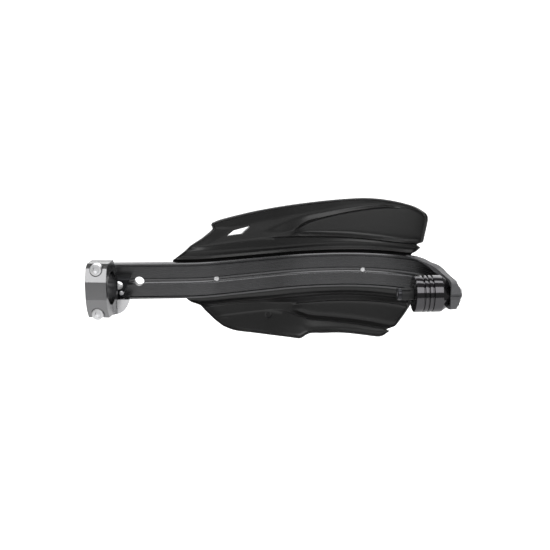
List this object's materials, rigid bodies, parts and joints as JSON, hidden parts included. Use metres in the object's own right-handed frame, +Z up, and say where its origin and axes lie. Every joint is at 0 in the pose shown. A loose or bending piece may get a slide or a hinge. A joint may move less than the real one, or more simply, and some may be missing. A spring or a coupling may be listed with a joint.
{
  "type": "motorcycle hand guard",
  "caption": "Motorcycle hand guard: bent alloy backbone with a ribbed two-wing shield, bar end weight with expander, and a swivelling handlebar clamp.",
  "frame": {"origin": "centre of the bar end weight's inner face, where it meets the end of the handlebar tube", "axes": "+X outward along the handlebar end, +Y forward and away from the rider, +Z up; a guard for the rider's end of the bar that the picture shows"},
  "size_m": [0.3184, 0.1251, 0.1359],
  "materials": {
    "anodised": "black anodised, brushed, satin",
    "weight": "turned, gloss black",
    "sleeve": "matte",
    "cone": "turned, dark",
    "zinc": "bright zinc",
    "shield": "moulded, semi-gloss black",
    "guard": "moulded, fine grain, dark grey"
  },
  "bodies": {
    "clamp": {"clamp_body": "anodised", "clamp_cap": "anodised", "clamp_bolt_upper": "zinc", "clamp_bolt_lower": "zinc", "swivel_bolt": "zinc", "swivel_nut": "zinc", "swivel_washer_top": "zinc", "swivel_washer_bottom": "zinc"},
    "guard": {"backbone_bar": "anodised", "wing_shield": "shield", "end_guard": "guard", "bar_end_weight": "weight", "expander_sleeve": "sleeve", "expander_cone": "cone", "bar_end_bolt": "zinc", "bar_end_washer": "zinc", "shield_screw_outer": "zinc", "shield_screw_inner": "zinc", "shield_washer_outer": "zinc", "shield_washer_inner": "zinc", "pivot_link": "anodised", "link_screw_lower": "zinc", "link_screw_hidden": "zinc"}
  },
  "joints": [
    {"name": "link_swivel", "type": "hinge", "parent": "clamp", "child": "guard", "pos_m": [-0.264, 0.04994, 0], "axis": [0, 0, 1], "range_deg": [-10, 10]}
  ]
}
